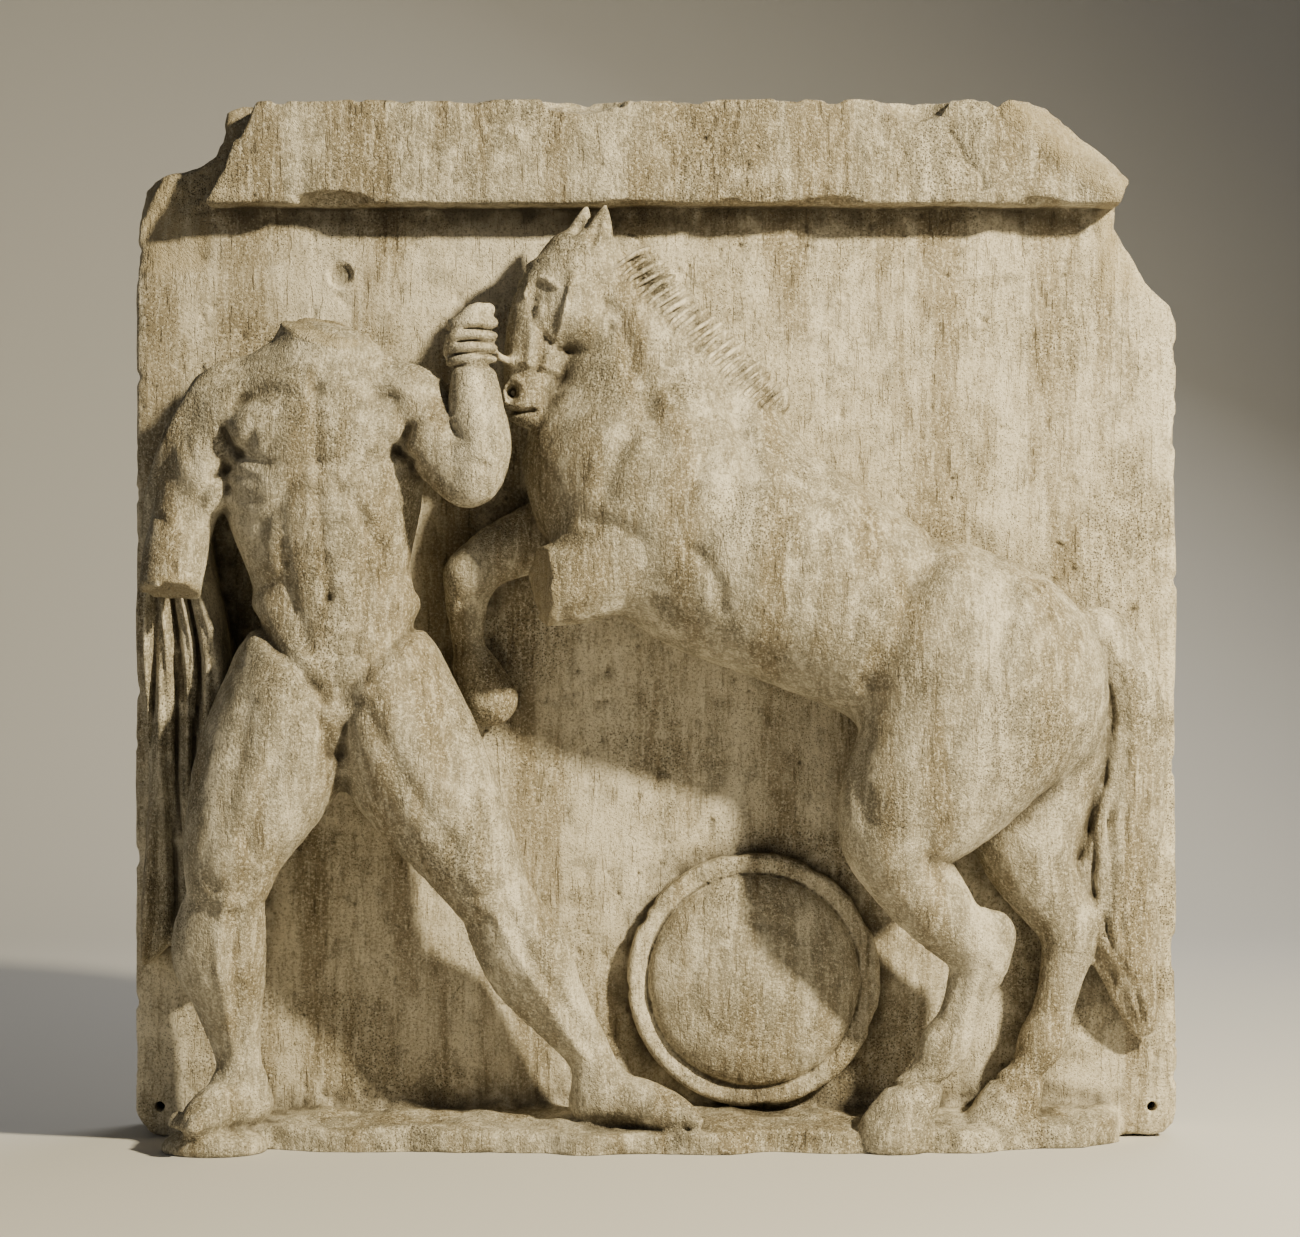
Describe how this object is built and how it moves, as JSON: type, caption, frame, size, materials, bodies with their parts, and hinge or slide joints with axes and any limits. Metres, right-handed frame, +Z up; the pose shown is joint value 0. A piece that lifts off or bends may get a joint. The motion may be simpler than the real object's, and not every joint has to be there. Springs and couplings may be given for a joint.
{
  "type": "marble relief plaque",
  "caption": "Square marble slab under a projecting band, carved in high relief with a lunging youth, a rearing horse, a cloak and a shield; worn and broken.",
  "frame": {"origin": "middle of the underside, halfway through the whole depth of slab and relief", "axes": "+X to the viewer's right, +Z up, and the carved face looks along -Y"},
  "size_m": [1.34, 0.3708, 1.325],
  "materials": {
    "weathered_marble": "matt weathered"
  },
  "bodies": {
    "root": {"relief_plaque": "weathered_marble"}
  },
  "joints": []
}
